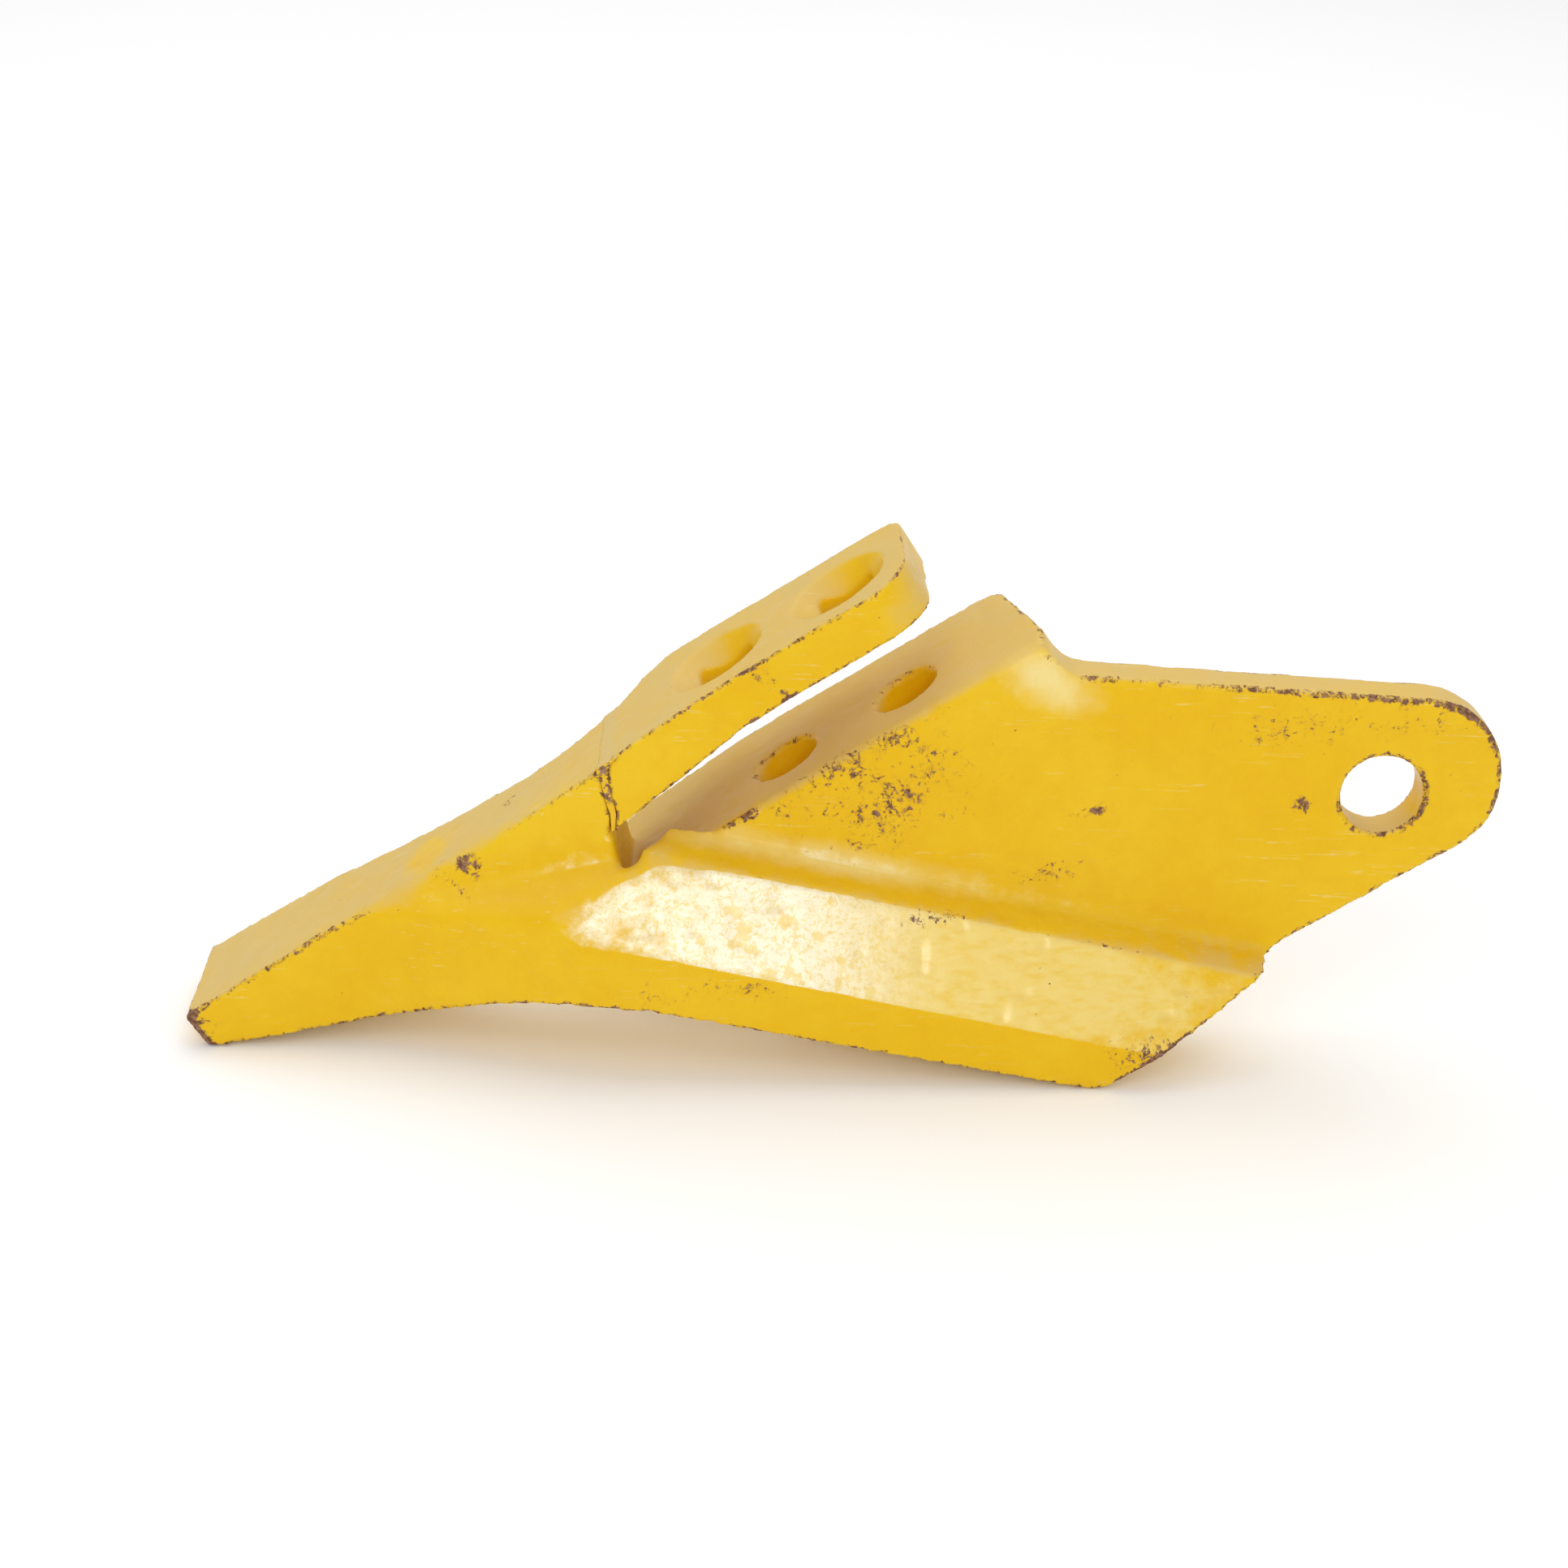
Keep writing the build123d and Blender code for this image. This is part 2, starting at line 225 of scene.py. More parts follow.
def seam_nearness(co, weld_samples, reach):
    """1 on the weld seam, falling to 0 at a distance."""
    tree = kdtree.KDTree(len(weld_samples))
    for i, p in enumerate(weld_samples):
        tree.insert(p, i)
    tree.balance()
    samples = np.array(weld_samples)
    close = np.all((co > samples.min(axis=0) - reach) & (co < samples.max(axis=0) + reach), axis=1)
    away = np.full(len(co), reach)
    away[close] = [tree.find(p)[2] for p in co[close]]
    return np.clip(1.0 - away / reach, 0.0, 1.0)


# ---------------------------------------------------------------- the pieces

def soften_body(co, edges):
    """Blend the flare into the rib, and round the ledge's end at the throat."""
    flare = ball_weight(co, place(-62, -14, -53), (46, 26, 22))
    crease = ball_weight(co, place(-38, -18, -57), (26, 20, 20))
    ledge_end = ball_weight(co, place(-12, -6, -45), (20, 14, 13))
    neck = ball_weight(co, place(88, 0, 10), (16, 9, 14))
    co = relax(co, edges, np.clip(1.6 * flare, 0, 1), 60)
    co = relax(co, edges, np.clip(1.5 * crease, 0, 1), 40)
    co = relax(co, edges, np.clip(1.6 * ledge_end, 0, 1), 70)
    return relax(co, edges, np.clip(1.5 * neck, 0, 1), 20)


def fill_seam(co, _edges):
    """Swell the weld into the rounded edges beside it, on top and on the bucket wall's side."""
    along = np.array([math.cos(LEG_ANGLE), 0.0, math.sin(LEG_ANGLE)])
    up = np.array([-math.sin(LEG_ANGLE), 0.0, math.cos(LEG_ANGLE)])
    depth = (co - np.array(DATUM)) @ up / MM
    near_top = np.clip((depth + 3.2) / 2.0, 0.0, 1.0)
    middle = (co - np.array(DATUM)) @ along
    middle = middle - np.mean(middle[depth > -4.0])
    # The weld stands upright, so its middle is found level by level.
    level = np.unique(np.round(co[:, 2] / MM), return_inverse=True)[1].ravel()
    level_middle = np.bincount(level, co[:, 0]) / np.bincount(level)
    side = np.sign(co[:, 0] - level_middle[level])
    near_side = np.clip(((DATUM.y - co[:, 1]) / MM - 1.5) / 2.0, 0.0, 1.0)
    foot = np.clip((co[:, 2] - co[:, 2].min()) / MM / 5.0 - 0.6, 0.0, 1.0)
    swell = near_side * foot * MM
    co = co + (1.9 * near_top * middle)[:, None] * along
    co = co + (WELD_TOP_RISE * MM * near_top)[:, None] * up
    sideways, outwards = WELD_SIDE_SWELL * swell * side, -WELD_OUT_SWELL * swell
    return co + np.stack([sideways, outwards, np.zeros(len(co))], axis=1)


def worn_forging(name, node, voxel, rounds, reshape=None,
                 unevenness=UNEVENNESS, nick_depth=NICK_DEPTH):
    """A forging's skin: rounded edges, hammered unevenness, pits and nicked corners."""
    mesh = closed_copy(node, voxel, rounds)
    mesh.name = name
    edges = read_edges(mesh)
    co = read_points(mesh)
    if reshape is not None:
        co = reshape(co, edges)
        write_points(mesh, co)
    normals = read_normals(mesh)
    convex, hollow = edge_measure(co, normals, edges, voxel, 4)

    swell = lumps(co, 26 * MM, 1) + 0.45 * lumps(co, 9 * MM, 2)
    grain = lumps(co, 3.2 * MM, 3)
    pits = np.clip(lumps(co, 5.5 * MM, 4) - 0.42, 0.0, 1.0) * 3.0
    nicks = convex * np.clip(lumps(co, 4.5 * MM, 5) * 1.8 - 0.35, 0.0, 1.0)
    lift = unevenness * (0.5 * swell - 0.6) + 0.035 * grain - 0.12 * pits - nick_depth * nicks
    co = co + normals * (lift * MM)[:, None]
    write_points(mesh, co)

    store(mesh, "edge_wear", convex)
    store(mesh, "hollow", hollow)
    store(mesh, "seam_rust", seam_nearness(co, weld_samples, SEAM_REACH))
    mesh.polygons.foreach_set("use_smooth", np.ones(len(mesh.polygons), dtype=bool))
    mesh.materials.clear()
    piece = bpy.data.objects.new(name, mesh)
    bpy.context.scene.collection.objects.link(piece)
    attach(piece, "root")
    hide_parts(node)
    return piece


weld_samples = sample_weld(WELD_SAMPLE_SPACING)

# ---------------------------------------------------------------- node helpers

def wire(tree, socket, value):
    """Feed a socket from another socket, or set it to a constant."""
    if isinstance(value, bpy.types.NodeSocket):
        tree.links.new(value, socket)
    elif value is not None:
        socket.default_value = value


def calc(tree, operation, a, b=None, c=None, clamp=False):
    node = tree.nodes.new("ShaderNodeMath")
    node.operation = operation
    node.use_clamp = clamp
    for socket, value in zip(node.inputs, (a, b, c)):
        wire(tree, socket, value)
    return node.outputs[0]


def step(tree, value, low, high, to_low=0.0, to_high=1.0):
    """Smooth rise from to_low to to_high as value goes from low to high."""
    node = tree.nodes.new("ShaderNodeMapRange")
    node.interpolation_type = "SMOOTHSTEP"
    for socket, given in zip(node.inputs, (value, low, high, to_low, to_high)):
        wire(tree, socket, given)
    return node.outputs["Result"]


def times(tree, a, b):
    return calc(tree, "MULTIPLY", a, b)


def split_xyz(tree, vector):
    node = tree.nodes.new("ShaderNodeSeparateXYZ")
    wire(tree, node.inputs[0], vector)
    return node.outputs


def upward(tree):
    """How far the surface faces up: 1 on a level top."""
    return split_xyz(tree, tree.nodes.new("ShaderNodeNewGeometry").outputs["Normal"])["Z"]


def blend_colour(tree, factor, a, b):
    node = tree.nodes.new("ShaderNodeMix")
    node.data_type = "RGBA"
    for name, value in (("Factor_Float", factor), ("A_Color", a), ("B_Color", b)):
        wire(tree, next(s for s in node.inputs if s.identifier == name), value)
    return next(s for s in node.outputs if s.identifier == "Result_Color")


def cloud(tree, vector, size, detail=3.0, roughness=0.5, distortion=0.0, seed=0.0):
    """Noise from 0 to 1, whose features are about size millimetres across."""
    node = tree.nodes.new("ShaderNodeTexNoise")
    node.noise_dimensions = "4D"
    wire(tree, node.inputs["Vector"], vector)
    wire(tree, node.inputs["W"], seed)
    wire(tree, node.inputs["Scale"], 1.0 / (size * MM))
    wire(tree, node.inputs["Detail"], detail)
    wire(tree, node.inputs["Roughness"], roughness)
    wire(tree, node.inputs["Distortion"], distortion)
    return node.outputs["Fac"]


def turned(tree, vector, angles, scale):
    node = tree.nodes.new("ShaderNodeMapping")
    wire(tree, node.inputs["Vector"], vector)
    node.inputs["Rotation"].default_value = angles
    node.inputs["Scale"].default_value = scale
    return node.outputs["Vector"]


def tint(tree, colour, mask, share, other):
    """Take a colour part of the way to another where mask is 1."""
    return blend_colour(tree, times(tree, mask, share), colour, other)


def carried(tree, name):
    node = tree.nodes.new("ShaderNodeAttribute")
    node.attribute_name = name
    return node.outputs["Fac"]


def new_group(name, inputs, outputs):
    """Shader node group with named sockets: returns it, its input node and its output node."""
    group = bpy.data.node_groups.new(name, "ShaderNodeTree")
    for side, sockets in (("INPUT", inputs), ("OUTPUT", outputs)):
        for socket, kind in sockets:
            group.interface.new_socket(name=socket, in_out=side, socket_type="NodeSocket" + kind)
    return group, group.nodes.new("NodeGroupInput"), group.nodes.new("NodeGroupOutput")


def use(tree, group, **values):
    """Place a group and feed its sockets. Underscores in names stand for spaces."""
    node = tree.nodes.new("ShaderNodeGroup")
    node.node_tree = group
    for name, value in values.items():
        wire(tree, node.inputs[name.replace("_", " ")], value)
    return node.outputs

# ---------------------------------------------------------------- shared effects

def make_chip_group():
    """Paint flaked off to bare rusty steel. More on edges, and where Amount is high."""
    group, given, out = new_group(
        "chipped_paint",
        [("Vector", "Vector"), ("Edge", "Float"), ("Amount", "Float")],
        [("Bare", "Float"), ("Rim", "Float")],
    )
    vector = given.outputs["Vector"]
    flakes = cloud(group, vector, 2.5, detail=6.0, roughness=0.74, distortion=0.9)
    patches = cloud(group, vector, 24.0, detail=2.0, seed=3.0)
    fine = cloud(group, vector, 0.7, detail=4.0, roughness=0.75, seed=6.0)
    bias = times(group, step(group, given.outputs["Edge"], 0.25, 1.0), 0.20)
    bias = calc(group, "MULTIPLY_ADD", given.outputs["Amount"], 0.30, bias)
    level = calc(group, "MULTIPLY_ADD", patches, 0.20, flakes)
    level = calc(group, "MULTIPLY_ADD", fine, 0.16, level)
    level = calc(group, "ADD", level, bias)
    specks = cloud(group, vector, 2.0, detail=2.0, roughness=0.6, seed=17.0)
    specks = step(group, specks, 0.745, 0.775)
    bare = calc(group, "MAXIMUM", step(group, level, 0.905, 0.930), times(group, specks, 0.85))
    wire(group, out.inputs["Bare"], bare)
    wire(group, out.inputs["Rim"], step(group, level, 0.830, 0.905))
    return group


def make_scratch_group():
    """Fine straight scuffs in two crossing directions."""
    group, given, out = new_group(
        "fine_scratches",
        [("Vector", "Vector"), ("Amount", "Float")],
        [("Mask", "Float")],
    )
    total = None
    for turn, seed in ((0.5, 1.0), (-0.35, 4.0), (1.25, 8.0)):
        along = turned(group, given.outputs["Vector"], (0, turn, 0.1 * seed), (0.06, 1.0, 1.6))
        lines = cloud(group, along, 1.6, detail=2.0, seed=seed)
        off_line = calc(group, "ABSOLUTE", calc(group, "SUBTRACT", lines, 0.69))
        mark = step(group, off_line, 0.018, 0.0)
        total = mark if total is None else calc(group, "MAXIMUM", total, mark)
    where = step(group, cloud(group, given.outputs["Vector"], 16.0, seed=11.0), 0.42, 0.62)
    mask = times(group, total, times(group, where, given.outputs["Amount"]))
    wire(group, out.inputs["Mask"], mask)
    return group


def make_dust_and_sheen_group():
    """Pale dust, and painted sky sheen, on faces that look up."""
    group, given, out = new_group(
        "dust_and_sky_sheen",
        [("Vector", "Vector"), ("Amount", "Float")],
        [("Mask", "Float")],
    )
    up = step(group, upward(group), 0.40, 0.80)
    drift = cloud(group, given.outputs["Vector"], 20.0, detail=4.0, seed=2.0)
    drift = step(group, drift, 0.30, 0.70, 0.72, 1.0)
    mask = times(group, up, times(group, drift, given.outputs["Amount"]))
    wire(group, out.inputs["Mask"], mask)
    return group


def make_spot_group():
    """A ragged patch round a place on the tooth."""
    group, given, out = new_group(
        "ragged_patch",
        [("Vector", "Vector"), ("Centre", "Vector"), ("Reach", "Vector"), ("Tilt", "Vector")],
        [("Mask", "Float"), ("Soft", "Float")],
    )
    away = group.nodes.new("ShaderNodeVectorMath")
    away.operation = "SUBTRACT"
    wire(group, away.inputs[0], given.outputs["Vector"])
    wire(group, away.inputs[1], given.outputs["Centre"])
    spin = group.nodes.new("ShaderNodeVectorRotate")
    spin.rotation_type = "EULER_XYZ"
    wire(group, spin.inputs["Vector"], away.outputs[0])
    wire(group, spin.inputs["Rotation"], given.outputs["Tilt"])
    share = group.nodes.new("ShaderNodeVectorMath")
    share.operation = "DIVIDE"
    wire(group, share.inputs[0], spin.outputs[0])
    wire(group, share.inputs[1], given.outputs["Reach"])
    length = group.nodes.new("ShaderNodeVectorMath")
    length.operation = "LENGTH"
    wire(group, length.inputs[0], share.outputs[0])
    ragged = cloud(group, given.outputs["Vector"], 7.0, detail=5.0, roughness=0.6, seed=5.0)
    ragged = calc(group, "MULTIPLY_ADD", ragged, 1.1, -0.55)
    edge = calc(group, "ADD", length.outputs["Value"], ragged)
    wire(group, out.inputs["Mask"], step(group, edge, 1.0, 0.55))
    wire(group, out.inputs["Soft"], step(group, edge, 1.15, 0.05))
    return group


def make_skin_group():
    """Height of brushed paint over a forged skin: orange peel, brush drag and grit."""
    group, given, out = new_group(
        "forged_skin",
        [("Vector", "Vector")],
        [("Height", "Float")],
    )
    vector = given.outputs["Vector"]
    peel = cloud(group, vector, 2.2, detail=2.0, seed=1.0)
    brushed = turned(group, vector, (0, 0.3, 0), (0.25, 1.0, 1.0))
    drag = cloud(group, brushed, 1.4, detail=3.0, seed=7.0)
    grit = cloud(group, vector, 0.6, detail=2.0, roughness=0.7, seed=9.0)
    height = calc(group, "MULTIPLY_ADD", drag, 0.45, peel)
    wire(group, out.inputs["Height"], calc(group, "MULTIPLY_ADD", grit, 0.22, height))
    return group


chip_group = make_chip_group()
scratch_group = make_scratch_group()
dust_and_sheen_group = make_dust_and_sheen_group()
spot_group = make_spot_group()
skin_group = make_skin_group()

# ---------------------------------------------------------------- materials

def patch(tree, vector, centre, reach, tilt=0.0, kind="Mask"):
    """Mask of a ragged patch. reach is in millimetres; tilt turns it in the side view."""
    return use(
        tree, spot_group,
        Vector=vector,
        Centre=tuple(centre),
        Reach=tuple(r * MM for r in reach),
        Tilt=(0.0, tilt, 0.0),
    )[kind]


def flake(tree, vector, centre, reach, tilt, amount):
    """Where paint has flaked: most in the middle, and thinning out."""
    return times(tree, patch(tree, vector, centre, reach, tilt, "Soft"), amount)


def facing(tree, direction, low, high):
    """1 where the surface faces a direction."""
    geometry = tree.nodes.new("ShaderNodeNewGeometry")
    dot = tree.nodes.new("ShaderNodeVectorMath")
    dot.operation = "DOT_PRODUCT"
    wire(tree, dot.inputs[0], geometry.outputs["Normal"])
    wire(tree, dot.inputs[1], direction)
    return step(tree, dot.outputs["Value"], low, high)


def strongest(tree, masks):
    total = masks[0]
    for mask in masks[1:]:
        total = calc(tree, "MAXIMUM", total, mask)
    return total


def new_material(name):
    material = bpy.data.materials.new(name)
    material.use_nodes = True
    tree = material.node_tree
    shader = next(n for n in tree.nodes if n.type == "BSDF_PRINCIPLED")
    place_on = tree.nodes.new("ShaderNodeTexCoord").outputs["Object"]
    return material, tree, shader, place_on


PAINT = (0.77, 0.465, 0.003, 1)
PAINT_THIN = (0.80, 0.53, 0.016, 1)
PAINT_DEEP_AND_SHADE = (0.72, 0.390, 0.004, 1)
# Pale tan for dust, and for the painted sheen of bright sky on faces that look up.
DUST_AND_SHEEN = (0.66, 0.47, 0.155, 1)
# Pale scuff colour, also used for painted highlights.
SCUFF_AND_HIGHLIGHT = (0.86, 0.76, 0.38, 1)
# Near white: rubbed paint with a painted glare of the light on it.
RUBBED_AND_GLARE = (0.93, 0.88, 0.70, 1)
# Pale yellow of the rubbed rib face, with painted sheen.
RIB_PALE = (0.82, 0.64, 0.19, 1)
STAIN = (0.46, 0.235, 0.030, 1)
RUST = (0.135, 0.058, 0.026, 1)
PRIMER_RUST = (0.32, 0.17, 0.10, 1)


# Where paint has flaked: centre, reach in millimetres, turn in the side view, amount.
FLAKED = [
    (place(46, 0, -35), (22, 6, 15), 0.9, 0.72),  # ear, under the lower leg: the worst patch
    (place(36, 0, -22), (19, 6, 9), -0.55, 0.62),  # ear, along the lower leg
    (place(50, 0, -14), (18, 6, 8), -0.60, 0.56),  # ear, along the lower leg
    (place(40, 0, -28), (48, 6, 30), 0.2, 0.42),  # ear, thin spread round both
    (place(90, 0, -52), (22, 6, 6), 0.3, 0.60),  # ear, above the ledge
    (place(102, 0, -33), (9, 6, 3), 0.4, 0.72),  # ear, a short dash
    (place(157, 0, -30), (4, 6, 4), 0.0, 1.00),  # ear, one spot
    (place(165, 0, -6), (62, 9, 11), 0.05, 0.42),  # ear, along its top edge
    (place(186, 0, -5), (32, 8, 9), 0.25, 0.44),  # ear, top edge by the hole
    (place(119, -24, -92), (28, 7, 9), 0.2, 0.62),  # rib, far lower corner
    (place(60, -13, -59), (34, 6, 4), 0.19, 0.62),  # rib face, upper edge
    (place(-67, -8, -48), (12, 6, 6), -0.6, 0.95),  # root, near edge of the top face
    (place(-48, -14, -64), (9, 8, 6), 0.0, 0.75),  # flare, at its crease
    (place(4, -24, -76), (40, 6, 8), 0.1, 0.50),  # rib, near the bottom
    (on_leg(10, -1), (66, 6, 4), -LEG_ANGLE, 0.62),  # upper leg, near top edge
    (on_leg(-90, -8), (70, 7, 4), -LEG_ANGLE, 0.50),  # nose, near top edge
    (place(-140, -11, -98), (12, 8, 10), 0.0, 0.75),  # nose, at the cutting edge
    (on_leg(-68, 12), (14, 8, 5), -LEG_ANGLE, 0.70),  # nose, far top edge
]


def yellow_paint():
    """Glossy yellow paint, thin on high spots, chipped at the edges and worn on the rib, with
    painted sheen, highlights and shade.
    """
    material, tree, shader, at = new_material("yellow_paint")
    edge = carried(tree, "edge_wear")
    hollow = carried(tree, "hollow")
    seam = carried(tree, "seam_rust")

    # Colour that drifts with the paint's thickness, with a painted highlight round the root and
    # painted shade in hollows.
    thin = step(tree, cloud(tree, at, 38.0, detail=4.0, seed=1.0), 0.35, 0.68)
    thin = calc(tree, "MAXIMUM", thin, step(tree, edge, 0.15, 0.9))
    # Painted highlight: the paint is lighter round the root.
    root_glow = patch(tree, at, place(-40, -8, -25), (45, 18, 22), 0.6)
    mottle = step(tree, cloud(tree, at, 7.0, detail=5.0, roughness=0.65, seed=31.0), 0.30, 0.70)
    colour = tint(tree, PAINT, thin, 0.60, PAINT_THIN)
    colour = tint(tree, colour, mottle, 0.35, PAINT_DEEP_AND_SHADE)
    colour = tint(tree, colour, root_glow, 0.6, PAINT_THIN)
    # Painted shade: hollows and concave corners are painted a deeper orange.
    hollow_shade = times(tree, step(tree, hollow, 0.2, 1.0), 0.6)
    colour = blend_colour(tree, hollow_shade, colour, PAINT_DEEP_AND_SHADE)

    # The rib's slanted face is rubbed pale by the ground and carries painted sheen; towards the
    # nose it is painted nearly white, rubbed paint with a painted glare of the light.
    on_rib = patch(tree, at, place(52, -18, -68), (108, 22, 34), RIB_TILT)
    rib_face = times(tree, facing(tree, RIB_FACE_NORMAL, 0.940, 0.972), on_rib)
    front = step(tree, split_xyz(tree, at)["X"], place(66, 0, 0).x, place(22, 0, 0).x)
    streaks = cloud(tree, turned(tree, at, (0, 0.5, 0), (0.4, 1, 1)), 2.0, detail=4.0, seed=4.0)
    squiggle = cloud(tree, at, 2.6, detail=5.0, roughness=0.62, distortion=2.4, seed=21.0)
    blotch = step(tree, cloud(tree, at, 6.0, detail=5.0, roughness=0.65, seed=25.0), 0.54, 0.60)
    rub_and_sheen = times(tree, rib_face, step(tree, streaks, 0.25, 0.60, 0.45, 1.0))
    colour = tint(tree, colour, rub_and_sheen, 0.80, RIB_PALE)
    white_and_glare = times(tree, rib_face, times(tree, front, step(tree, squiggle, 0.36, 0.54, 0.22, 1.0)))
    white_and_glare = times(tree, white_and_glare, calc(tree, "MULTIPLY_ADD", blotch, -0.75, 1.0))
    colour = tint(tree, colour, white_and_glare, 0.84, RUBBED_AND_GLARE)

    # Painted highlight along the ledge's fillet, where the light glints off the concave corner.
    fillet_highlight = patch(tree, at, place(30, -3, -47), (62, 5, 5), RIB_TILT, "Soft")
    colour = tint(tree, colour, fillet_highlight, 0.55, SCUFF_AND_HIGHLIGHT)

    # Paler patch where the lower leg's end runs into the ear.
    corner = patch(tree, at, place(86, 0, 5), (17, 8, 9), -0.5, "Soft")
    colour = tint(tree, colour, corner, 0.65, SCUFF_AND_HIGHLIGHT)

    # The ledge, the flare and the middle of the nose get no dust and no painted sheen.
    ledge = patch(tree, at, place(60, -5, -52), (135, 13, 13), RIB_TILT)
    nose_middle = patch(tree, at, on_leg(-95, 8), (42, 13, 8), -LEG_ANGLE)
    flare = patch(tree, at, place(-52, -14, -54), (62, 18, 20), 0.45)
    no_dust_or_sheen = strongest(tree, [
        times(tree, ledge, 0.92),
        times(tree, nose_middle, 0.85),
        times(tree, flare, 0.90),
    ])
    # Dust and painted sky sheen: faces that look up are painted pale tan.
    dust_and_sheen = use(tree, dust_and_sheen_group, Vector=at, Amount=0.88)["Mask"]
    dust_and_sheen = times(tree, dust_and_sheen, calc(tree, "SUBTRACT", 1.0, no_dust_or_sheen))
    leg_end = patch(tree, at, on_leg(60, 14, -6), (9, 26, 16), -LEG_ANGLE, "Soft")
    dust_and_sheen = calc(tree, "MAXIMUM", dust_and_sheen, times(tree, leg_end, 0.85))
    colour = blend_colour(tree, dust_and_sheen, colour, DUST_AND_SHEEN)

    scratch = use(tree, scratch_group, Vector=at, Amount=0.75)["Mask"]
    colour = tint(tree, colour, scratch, 0.55, SCUFF_AND_HIGHLIGHT)

    flaked = strongest(tree, [flake(tree, at, *worn) for worn in FLAKED])
    amount = calc(tree, "MULTIPLY_ADD", step(tree, seam, 0.75, 1.0), 0.30, flaked)
    chips = use(tree, chip_group, Vector=at, Edge=edge, Amount=amount)
    rust_tone = cloud(tree, at, 1.1, detail=3.0, seed=13.0)
    rust = blend_colour(tree, step(tree, rust_tone, 0.35, 0.7), RUST, PRIMER_RUST)
    stain = times(tree, chips["Rim"], calc(tree, "MULTIPLY_ADD", rub_and_sheen, -0.36, 0.42))
    colour = blend_colour(tree, stain, colour, STAIN)
    colour = blend_colour(tree, chips["Bare"], colour, rust)
    wire(tree, shader.inputs["Base Color"], colour)

    gloss = step(tree, cloud(tree, at, 6.0, detail=4.0, seed=15.0), 0.3, 0.7, 0.24, 0.36)
    gloss = calc(tree, "MULTIPLY_ADD", dust_and_sheen, 0.16, gloss)
    gloss = calc(tree, "MULTIPLY_ADD", scratch, 0.18, gloss)
    gloss = calc(tree, "MULTIPLY_ADD", chips["Bare"], 0.40, gloss)
    wire(tree, shader.inputs["Roughness"], gloss)

    height = use(tree, skin_group, Vector=at)["Height"]
    height = calc(tree, "MULTIPLY_ADD", chips["Bare"], -1.3, height)
    height = calc(tree, "MULTIPLY_ADD", scratch, -0.35, height)
    bump = tree.nodes.new("ShaderNodeBump")
    bump.inputs["Strength"].default_value = 0.35
    bump.inputs["Distance"].default_value = 0.25 * MM
    wire(tree, bump.inputs["Height"], height)
    wire(tree, shader.inputs["Normal"], bump.outputs["Normal"])
    wire(tree, shader.inputs["Coat Weight"], calc(tree, "MULTIPLY_ADD", rub_and_sheen, 0.55, 0.03))
    shader.inputs["Coat Roughness"].default_value = 0.24
    shader.inputs["Specular IOR Level"].default_value = 0.16
    return material


def weld_metal():
    """Rusty weld metal with scraps of paint in its ripples."""
    material, tree, shader, at = new_material("weld_metal")
    tone = cloud(tree, at, 1.4, detail=4.0, seed=2.0)
    rust = blend_colour(tree, step(tree, tone, 0.35, 0.65), RUST, PRIMER_RUST)
    scraps = step(tree, cloud(tree, at, 2.0, detail=5.0, roughness=0.65, seed=5.0), 0.47, 0.53)
    up = upward(tree)
    # Paint covers the weld's foot, at the throat, and its top.
    foot = step(tree, split_xyz(tree, at)["Z"], place(0, 0, -29).z, place(0, 0, -32).z)
    painted = strongest(tree, [scraps, step(tree, up, 0.35, 0.6), foot])
    # Faces that look up are painted pale tan: dust and painted sky sheen.
    dusty_and_sheen = blend_colour(tree, step(tree, up, 0.40, 0.80), PAINT, DUST_AND_SHEEN)
    wire(tree, shader.inputs["Base Color"], blend_colour(tree, painted, rust, dusty_and_sheen))
    wire(tree, shader.inputs["Roughness"], step(tree, tone, 0.3, 0.7, 0.85, 0.55))
    bump = tree.nodes.new("ShaderNodeBump")
    bump.inputs["Strength"].default_value = 0.6
    bump.inputs["Distance"].default_value = 0.3 * MM
    wire(tree, bump.inputs["Height"], tone)
    wire(tree, shader.inputs["Normal"], bump.outputs["Normal"])
    return material


paint = yellow_paint()
body = worn_forging(
    "body_skin", "body_forging", BODY_CELL, BODY_ROUNDS, soften_body,
)
leg = worn_forging("upper_leg_skin", "upper_leg", LEG_CELL, LEG_ROUNDS)
weld = worn_forging(
    "weld_bead", "leg_weld", WELD_CELL, WELD_ROUNDS, fill_seam,
    WELD_UNEVENNESS, WELD_NICK_DEPTH,
)
body.data.materials.append(paint)
leg.data.materials.append(paint)
weld.data.materials.append(weld_metal())

# ---------------------------------------------------------------- studio

FLOOR_HALF = 6.0
WORLD_BRIGHTNESS = 0.68
CAMERA_PLACE = place(-2.7, -628.8, 261.0)
CAMERA_HEADING, CAMERA_DIP, CAMERA_ROLL = (math.radians(a) for a in (1.96, 24.6, 2.18))

# Name, where it stands, what it faces, its side in metres and its watts.
STUDIO_LIGHTS = [
    ("front_softbox", (-0.5, -1.6, 1.5), (0, 0, 0.05), 1.2, 7.0),
    ("overhead_softbox", (0, 1.2, 2.4), (0, 0.9, 0), 2.8, 30.0),
    ("rib_glint", place(140, -1030, 480), place(-20, -18, -55), 0.20, 2.0),
]


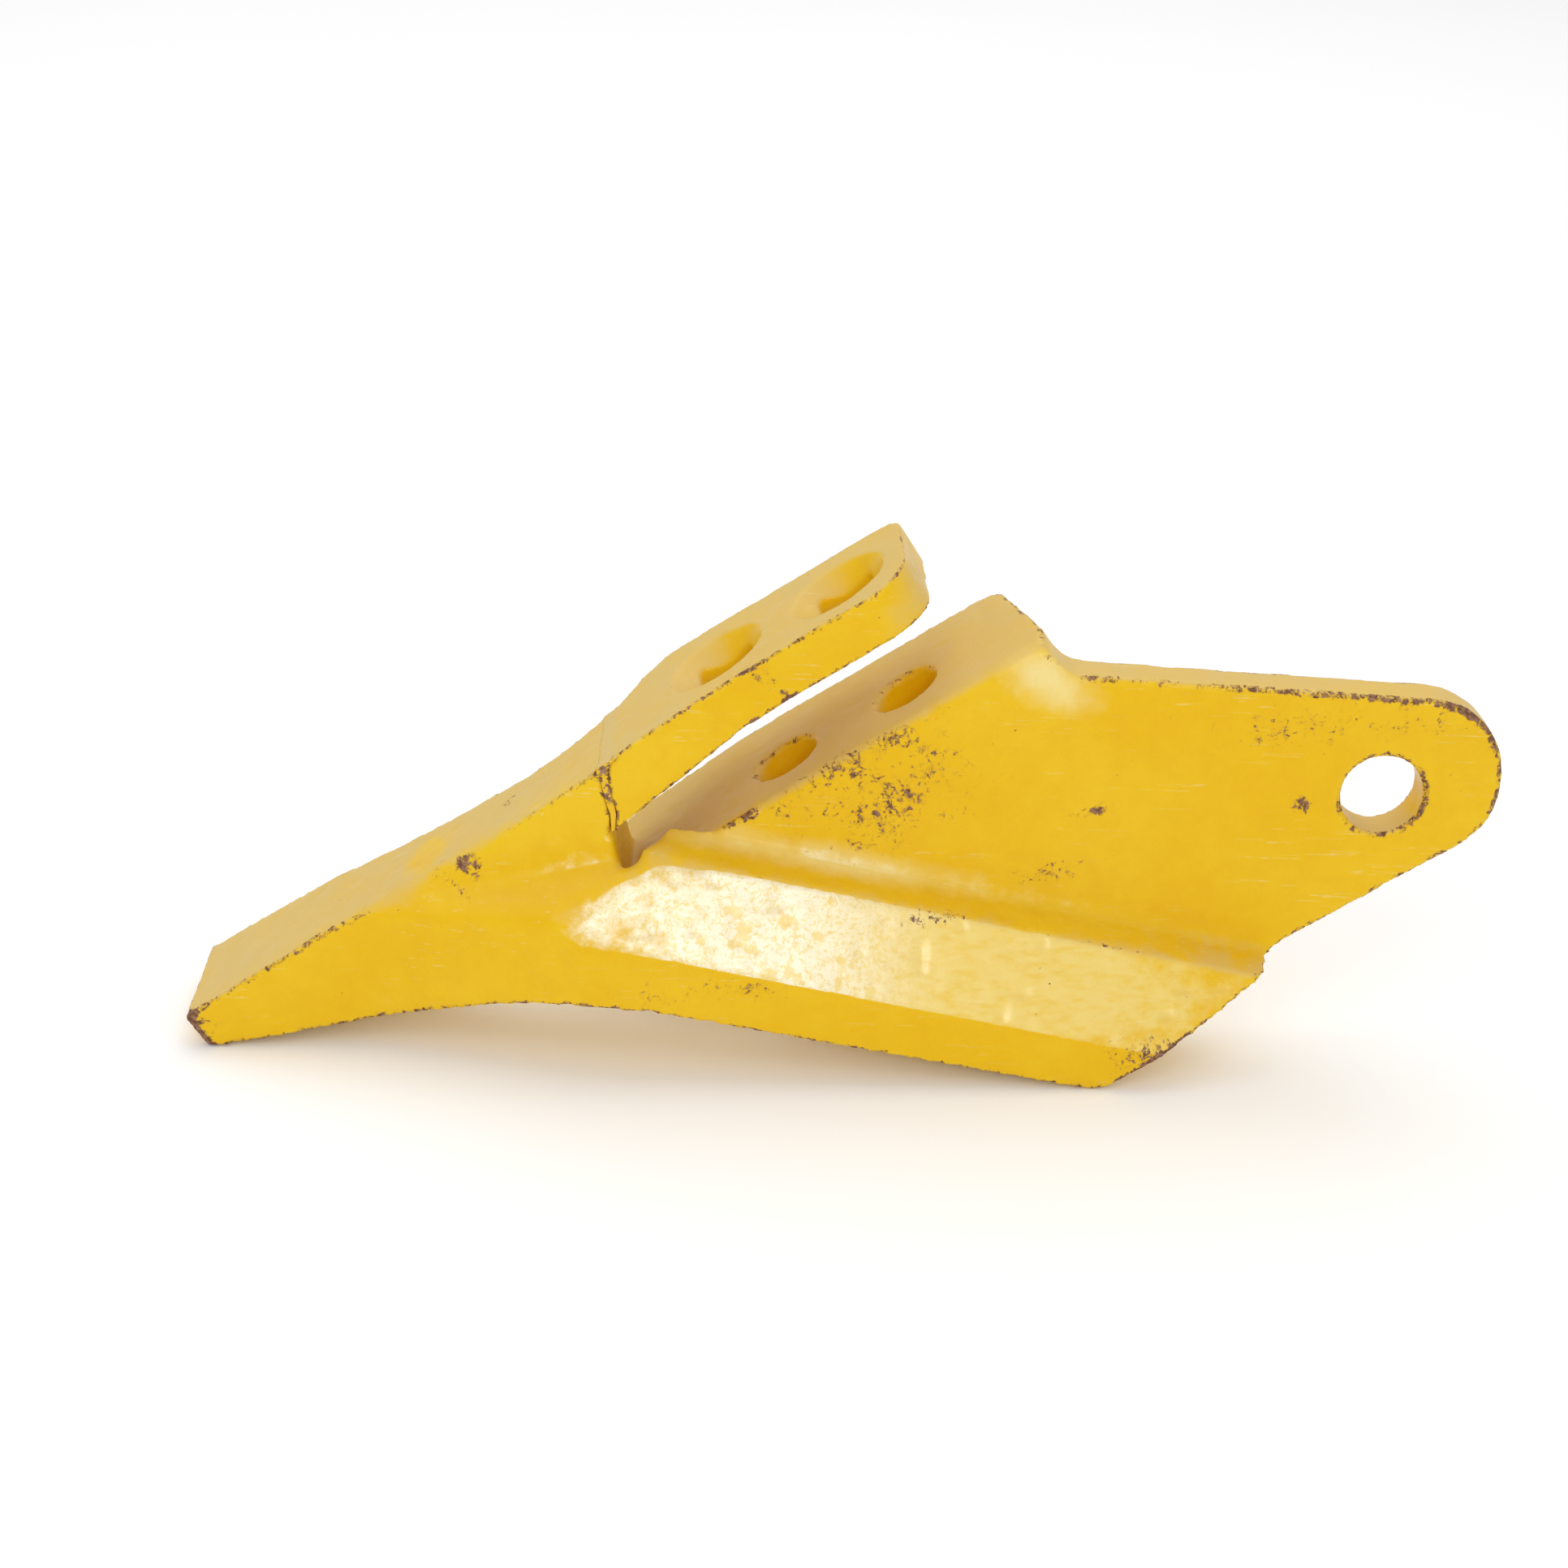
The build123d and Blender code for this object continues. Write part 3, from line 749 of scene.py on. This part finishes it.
def studio_floor():
    """Plain pale floor under the tooth."""
    half = FLOOR_HALF
    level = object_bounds()[0].z
    mesh = bpy.data.meshes.new("studio_floor")
    square = ((-half, -half), (half, -half), (half, half), (-half, half))
    corners = [(x, y, level) for x, y in square]
    mesh.from_pydata(corners, [], [(0, 1, 2, 3)])
    floor = bpy.data.objects.new("studio_floor", mesh)
    bpy.context.scene.collection.objects.link(floor)
    material, tree, shader, at = new_material("pale_floor")
    tone = cloud(tree, at, 400.0, detail=2.0)
    shade = blend_colour(tree, tone, (0.95, 0.95, 0.95, 1), (0.97, 0.97, 0.97, 1))
    wire(tree, shader.inputs["Base Color"], shade)
    shader.inputs["Roughness"].default_value = 0.9
    mesh.materials.append(material)
    floor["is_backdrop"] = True


def soft_light(name, position, target, size, power):
    """Square soft light that faces a target."""
    data = bpy.data.lights.new(name, "AREA")
    data.shape = "SQUARE"
    data.size = size
    data.energy = power
    light = bpy.data.objects.new(name, data)
    bpy.context.scene.collection.objects.link(light)
    light.location = position
    light.rotation_mode = "QUATERNION"
    light.rotation_quaternion = (Vector(target) - Vector(position)).to_track_quat("-Z", "Y")


def studio_camera():
    """Camera in front of the tooth, a little above it."""
    data = bpy.data.cameras.new("studio_camera")
    data.lens = 60.0
    data.sensor_width = 36.0
    data.clip_start, data.clip_end = 0.01, 20.0
    camera = bpy.data.objects.new("studio_camera", data)
    bpy.context.scene.collection.objects.link(camera)
    turn = (
        Matrix.Rotation(-CAMERA_HEADING, 4, "Z")
        @ Matrix.Rotation(math.pi / 2 - CAMERA_DIP, 4, "X")
        @ Matrix.Rotation(CAMERA_ROLL, 4, "Z")
    )
    camera.matrix_world = Matrix.Translation(CAMERA_PLACE) @ turn
    bpy.context.scene.camera = camera


def studio_world():
    world = bpy.data.worlds.new("studio_world")
    world.use_nodes = True
    background = world.node_tree.nodes["Background"]
    background.inputs["Color"].default_value = (1.0, 1.0, 1.0, 1)
    background.inputs["Strength"].default_value = WORLD_BRIGHTNESS
    bpy.context.scene.world = world


studio_floor()
studio_camera()
studio_world()
for light in STUDIO_LIGHTS:
    soft_light(*light)
bpy.context.scene.view_settings.view_transform = "Standard"
